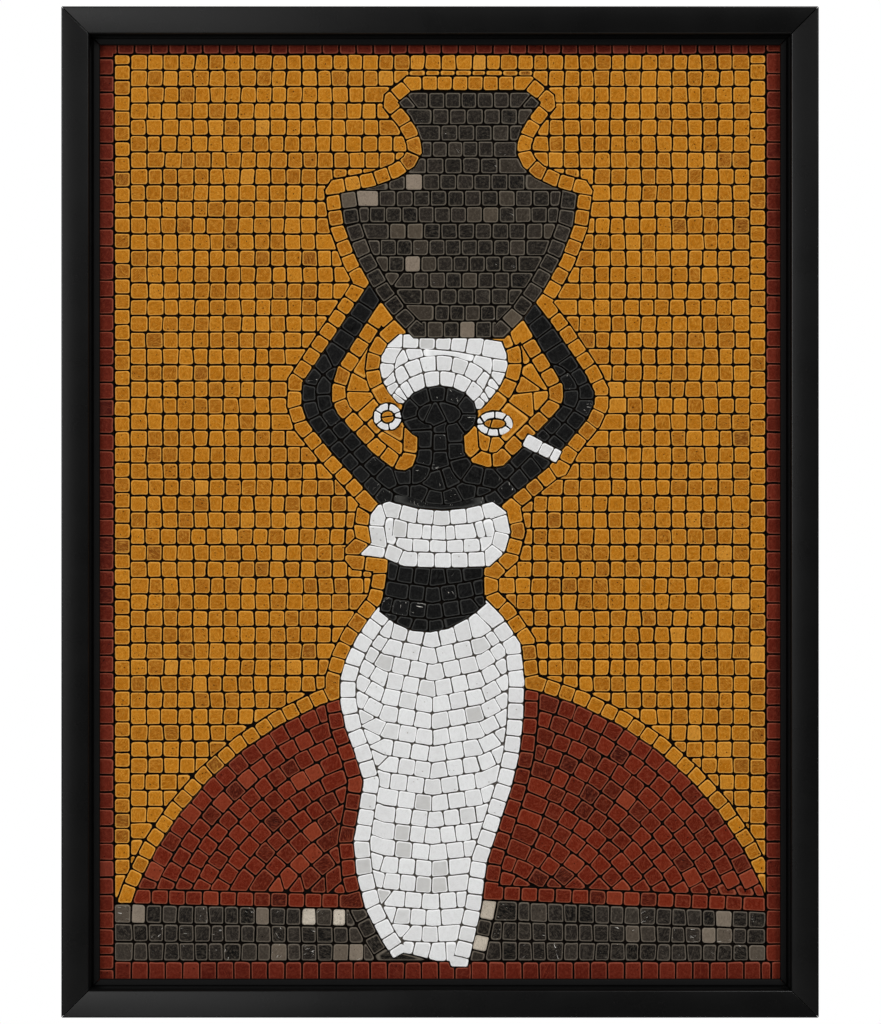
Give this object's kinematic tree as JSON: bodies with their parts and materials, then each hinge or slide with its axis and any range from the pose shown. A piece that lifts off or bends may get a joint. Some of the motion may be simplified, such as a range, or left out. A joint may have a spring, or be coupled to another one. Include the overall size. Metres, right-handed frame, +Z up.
{
  "type": "mosaic panel",
  "caption": "Framed stone mosaic for a wall: a jar bearer on a red hill against an ochre ground, in a stepped black moulding.",
  "frame": {"origin": "centre of the wall fixing, on the flat back of the top rail, on the wall plane", "axes": "+Z up the panel, +X to the viewer's right, -Y out of the wall towards the viewer; the wall plane is y = 0"},
  "size_m": [0.504, 0.036, 0.673],
  "materials": {
    "black_lacquer": "satin black lacquer on a wooden moulding",
    "backing_board": "bare board, plain",
    "red_marble": "tumbled red marble tesserae, border",
    "ochre_marble": "tumbled ochre marble tesserae with brown pits and lighter worn rims",
    "hill_marble": "tumbled red marble tesserae, hill",
    "brown_marble": "tumbled dark brown-grey marble tesserae with pale chips",
    "jar_marble": "tumbled dark brown marble tesserae, some tan",
    "white_marble": "tumbled white marble tesserae, some greyer",
    "black_marble": "honed black marble tesserae"
  },
  "bodies": {
    "root": {"frame_rail_top": "black_lacquer", "frame_rail_right": "black_lacquer", "frame_rail_bottom": "black_lacquer", "frame_rail_left": "black_lacquer", "backing_board": "backing_board", "border_course": "red_marble", "ochre_ground": "ochre_marble", "ochre_inside_left_arm": "ochre_marble", "ochre_inside_right_arm": "ochre_marble", "hill_left": "hill_marble", "hill_right": "hill_marble", "ground_band_left": "brown_marble", "ground_band_right": "brown_marble", "jar": "jar_marble", "head_wrap": "white_marble", "figure_upper": "black_marble", "right_forearm": "black_marble", "armband": "white_marble", "bandeau": "white_marble", "waist": "black_marble", "skirt": "white_marble", "earring_left": "white_marble", "earring_right": "white_marble", "earring_infill_left": "ochre_marble", "earring_infill_right": "ochre_marble"}
  },
  "joints": []
}
